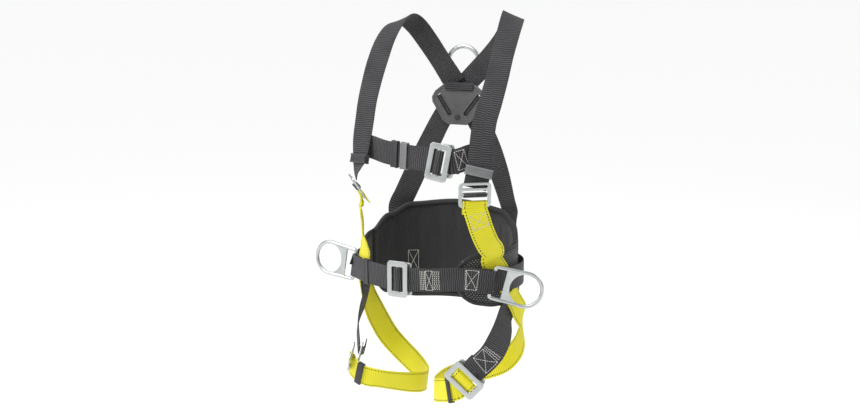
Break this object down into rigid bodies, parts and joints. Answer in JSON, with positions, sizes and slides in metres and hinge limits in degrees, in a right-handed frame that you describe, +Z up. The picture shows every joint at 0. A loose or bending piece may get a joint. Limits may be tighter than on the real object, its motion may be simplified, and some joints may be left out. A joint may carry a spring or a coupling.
{
  "type": "safety harness",
  "caption": "Full-body safety harness with padded work-positioning belt, chest strap, leg loops, dorsal D-ring and side D-rings, posed as if worn.",
  "frame": {"origin": "where a hook pulls on the dorsal D-ring: the top inside of its eye, on the wearer's back", "axes": "+Z up along the wearer's spine, -Y the way the wearer faces, +X towards the wearer's left"},
  "size_m": [0.4834, 0.2842, 0.7388],
  "materials": {
    "black_webbing": "woven polyester, cross ribbed",
    "yellow_webbing": "woven polyester with stitched edges",
    "zinc_plated_steel": "satin zinc plating",
    "dark_nylon": "moulded",
    "grey_nylon": "moulded",
    "pad_fabric": "brushed lining",
    "mesh_fabric": "spacer mesh",
    "elastic": "woven elastic"
  },
  "bodies": {
    "root": {"back_strap_left": "black_webbing", "back_strap_right": "black_webbing", "belt_buckle_plate": "zinc_plated_steel", "belt_webbing_back": "black_webbing", "belt_webbing_left": "black_webbing", "belt_webbing_right": "black_webbing", "chest_buckle_plate": "zinc_plated_steel", "chest_strap_left": "black_webbing", "chest_strap_right": "black_webbing", "dorsal_plate": "grey_nylon", "dorsal_plate_rivet": "dark_nylon", "dorsal_ring_loop": "black_webbing", "hip_strap_left": "black_webbing", "hip_strap_right": "black_webbing", "leg_buckle_left_plate": "zinc_plated_steel", "leg_buckle_right_plate": "zinc_plated_steel", "leg_strap_left": "yellow_webbing", "leg_strap_right": "yellow_webbing", "lumbar_pad": "pad_fabric", "shoulder_strap_left": "black_webbing", "shoulder_strap_right": "black_webbing", "side_pad_left": "mesh_fabric", "side_pad_right": "mesh_fabric", "torso_adjuster_frame_left": "zinc_plated_steel", "torso_adjuster_frame_right": "zinc_plated_steel", "torso_strap_left": "yellow_webbing", "torso_strap_right": "yellow_webbing"},
    "belt_buckle_link": {"belt_buckle_link": "zinc_plated_steel"},
    "belt_keeper": {"belt_keeper": "dark_nylon"},
    "chest_buckle_link": {"chest_buckle_link": "zinc_plated_steel"},
    "chest_keeper_inner": {"chest_keeper_inner": "dark_nylon"},
    "chest_keeper_outer": {"chest_keeper_outer": "grey_nylon"},
    "dorsal_ring": {"dorsal_ring": "zinc_plated_steel"},
    "leg_buckle_left_link": {"leg_buckle_left_link": "zinc_plated_steel"},
    "leg_buckle_right_link": {"leg_buckle_right_link": "zinc_plated_steel"},
    "leg_keeper_left": {"leg_keeper_left": "elastic"},
    "leg_keeper_right": {"leg_keeper_right": "elastic"},
    "shoulder_keeper_left": {"shoulder_keeper_left": "grey_nylon"},
    "shoulder_keeper_right": {"shoulder_keeper_right": "dark_nylon"},
    "side_ring_left": {"side_ring_left": "zinc_plated_steel"},
    "side_ring_right": {"side_ring_right": "zinc_plated_steel"},
    "torso_adjuster_rod_left": {"torso_adjuster_rod_left": "zinc_plated_steel", "torso_adjuster_wrap_left": "black_webbing"},
    "torso_adjuster_rod_right": {"torso_adjuster_rod_right": "zinc_plated_steel", "torso_adjuster_wrap_right": "black_webbing"}
  },
  "joints": [
    {"name": "dorsal_ring_swing", "type": "hinge", "parent": "root", "child": "dorsal_ring", "pos_m": [0, 0, -0.062], "axis": [-1, 0, 0], "range_deg": [0, 150]},
    {"name": "side_ring_right_swing", "type": "hinge", "parent": "root", "child": "side_ring_right", "pos_m": [-0.15535, -0.17273, -0.416], "axis": [0.1188, 0.0488, 0.9917], "range_deg": [-40, 75]},
    {"name": "side_ring_left_swing", "type": "hinge", "parent": "root", "child": "side_ring_left", "pos_m": [0.14541, -0.19892, -0.413], "axis": [0.215, 0.1067, 0.9708], "range_deg": [-90, 12]},
    {"name": "chest_buckle_link_tilt", "type": "hinge", "parent": "root", "child": "chest_buckle_link", "pos_m": [0.08, -0.2365, -0.1895], "axis": [-0.0813, -0.0003, -0.9967], "range_deg": [0, 30]},
    {"name": "belt_buckle_link_tilt", "type": "hinge", "parent": "root", "child": "belt_buckle_link", "pos_m": [0.00195, -0.24802, -0.412], "axis": [0, 0, -1], "range_deg": [0, 30]},
    {"name": "leg_buckle_left_link_tilt", "type": "hinge", "parent": "root", "child": "leg_buckle_left_link", "pos_m": [0.13286, -0.25755, -0.56739], "axis": [0.7268, 0.1546, -0.6692], "range_deg": [0, 20]},
    {"name": "leg_buckle_right_link_tilt", "type": "hinge", "parent": "root", "child": "leg_buckle_right_link", "pos_m": [-0.12126, -0.21133, -0.57088], "axis": [0.4368, -0.6777, 0.5916], "range_deg": [0, 30]},
    {"name": "torso_adjuster_rod_left_slide", "type": "slide", "parent": "root", "child": "torso_adjuster_rod_left", "axis": [0.0503, -0.0704, 0.9962], "range_m": [-0.003, 0.001]},
    {"name": "torso_adjuster_rod_right_slide", "type": "slide", "parent": "root", "child": "torso_adjuster_rod_right", "axis": [-0.4187, -0.2991, 0.8574], "range_m": [-0.003, 0.001]},
    {"name": "chest_keeper_outer_slide", "type": "slide", "parent": "root", "child": "chest_keeper_outer", "axis": [0.9728, -0.2238, -0.0594], "range_m": [0, 0.01]},
    {"name": "chest_keeper_inner_slide", "type": "slide", "parent": "root", "child": "chest_keeper_inner", "axis": [0.9585, -0.2781, -0.0633], "range_m": [-0.01, 0]},
    {"name": "belt_keeper_slide", "type": "slide", "parent": "root", "child": "belt_keeper", "axis": [0.8615, -0.5075, 0.015], "range_m": [-0.005, 0.005]},
    {"name": "shoulder_keeper_right_slide", "type": "slide", "parent": "root", "child": "shoulder_keeper_right", "axis": [0.0634, 0.2152, 0.9745], "range_m": [0, 0.004]},
    {"name": "shoulder_keeper_left_slide", "type": "slide", "parent": "root", "child": "shoulder_keeper_left", "axis": [0.1186, 0.2314, 0.9656], "range_m": [0, 0.006]},
    {"name": "leg_keeper_left_slide", "type": "slide", "parent": "root", "child": "leg_keeper_left", "axis": [0.8936, -0.3038, 0.3305], "range_m": [-0.0015, 0]},
    {"name": "leg_keeper_right_slide", "type": "slide", "parent": "root", "child": "leg_keeper_right", "axis": [-0.9385, 0.0297, 0.3441], "range_m": [-0.003, 0]}
  ]
}
